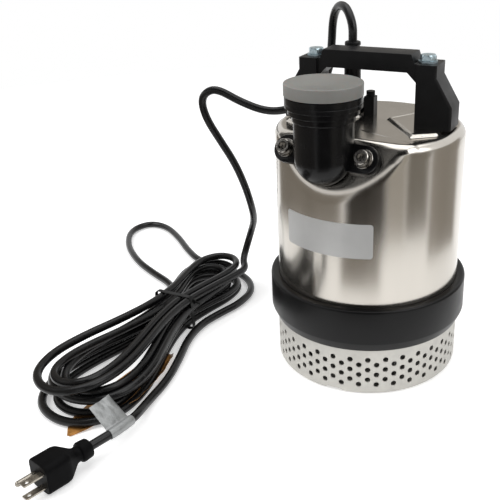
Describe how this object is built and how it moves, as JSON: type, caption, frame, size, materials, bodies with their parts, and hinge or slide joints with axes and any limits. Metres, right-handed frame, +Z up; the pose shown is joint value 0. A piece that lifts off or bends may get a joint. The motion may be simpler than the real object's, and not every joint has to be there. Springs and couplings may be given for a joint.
{
  "type": "submersible sump pump",
  "caption": "Upright submersible pump with a drawn steel shell, a perforated strainer foot, a top handle, an upward threaded discharge elbow with a dust cap, and a tied power cord.",
  "frame": {"origin": "centre of the strainer's flat foot, on the floor", "axes": "+Z up along the shaft, the discharge elbow on the -Y side, the handle bar along X"},
  "size_m": [0.5093, 0.5217, 0.3418],
  "materials": {
    "stainless": "polished drawn stainless sheet",
    "satin_stainless": "satin stainless sheet",
    "black_rubber": "moulded rubber",
    "black_plastic": "moulded plastic",
    "cast_iron": "black coated casting",
    "grey_plastic": "translucent soft plastic",
    "zinc_steel": "zinc plated",
    "steel": "machined steel",
    "aluminium": "die cast",
    "copper": "enamelled winding wire",
    "brass": "plain brass",
    "ceramic": "lapped ceramic",
    "cord": "smooth cord jacket",
    "label": "bare flag label",
    "amber_film": "amber tag"
  },
  "bodies": {
    "pump": {"strainer": "satin_stainless", "strainer_posts": "steel", "strainer_screws": "steel", "bumper_band": "black_rubber", "outer_shell": "stainless", "discharge_elbow": "cast_iron", "elbow_gasket": "black_rubber", "elbow_bolts": "zinc_steel", "elbow_washers": "zinc_steel", "elbow_nuts": "steel", "handle": "black_plastic", "handle_bolts": "zinc_steel", "handle_washers": "zinc_steel", "cable_boot": "black_rubber", "gland_nut": "black_plastic", "vent_plug": "black_plastic", "suction_plate": "cast_iron", "plate_screws": "steel", "pump_casing": "cast_iron", "oil_chamber": "cast_iron", "chamber_screws": "steel", "seal_seat": "ceramic", "bearing_bracket": "cast_iron", "upper_bracket": "aluminium", "lower_bearing_outer_ring": "steel", "upper_bearing_outer_ring": "steel", "motor_housing": "aluminium", "stator_core": "steel", "stator_windings": "copper", "motor_studs": "steel", "capacitor": "aluminium", "thermal_protector": "black_plastic", "top_cover": "cast_iron", "cover_gasket": "black_rubber", "cord_hank": "cord", "cord_lead": "cord", "cord_tail": "cord", "cord_tie": "black_plastic", "plug_body": "black_rubber", "plug_blades": "brass", "plug_ground_pin": "brass", "cord_tag": "label", "paper_tag": "amber_film"},
    "rotor": {"impeller": "cast_iron", "impeller_washer": "steel", "impeller_nut": "steel", "shaft": "steel", "seal_ring": "steel", "rotor_core": "aluminium", "lower_bearing_inner_ring": "steel", "upper_bearing_inner_ring": "steel"},
    "cap": {"discharge_cap": "grey_plastic"}
  },
  "joints": [
    {"name": "rotor_spin", "type": "hinge", "parent": "pump", "child": "rotor", "pos_m": [0, 0, 0.15], "axis": [0, 0, 1], "continuous": true},
    {"name": "cap_lift", "type": "slide", "parent": "pump", "child": "cap", "axis": [0, 0, 1], "range_m": [0, 0.03]}
  ]
}
